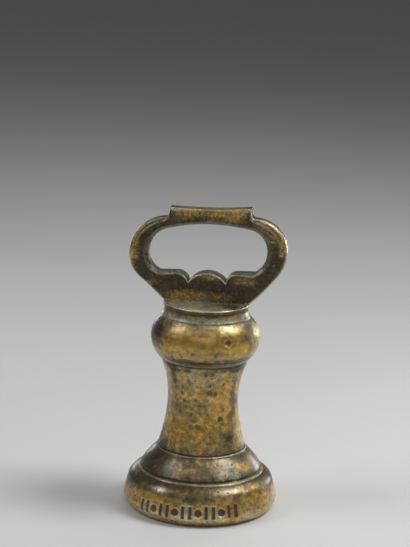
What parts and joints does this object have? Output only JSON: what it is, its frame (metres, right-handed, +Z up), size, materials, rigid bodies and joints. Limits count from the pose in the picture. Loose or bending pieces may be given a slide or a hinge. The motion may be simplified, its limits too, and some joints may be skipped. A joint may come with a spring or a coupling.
{
  "type": "scale weight",
  "caption": "Bell-shaped bronze balance weight: turned waisted body on a stepped foot, round collar and fixed loop handle; stands on a scale pan as a known mass.",
  "frame": {"origin": "middle of the foot ring, on the plane that the weight stands on", "axes": "+Z up along the turning axis of the body; X along the flat of the handle; +Y through the handle's opening, away from the side in the picture"},
  "size_m": [0.08, 0.0784, 0.1552],
  "materials": {
    "body_bronze": "turned and worn bronze with a brown and green patina",
    "handle_bronze": "cast and filed bronze, darker than the body, worn to gold on the grip",
    "rove_bronze": "plain hammered bronze",
    "adjusting_lead": "dull hammered lead"
  },
  "bodies": {
    "root": {"bell_body": "body_bronze", "handle": "handle_bronze", "rove": "rove_bronze", "lead_plug": "adjusting_lead"}
  },
  "joints": []
}
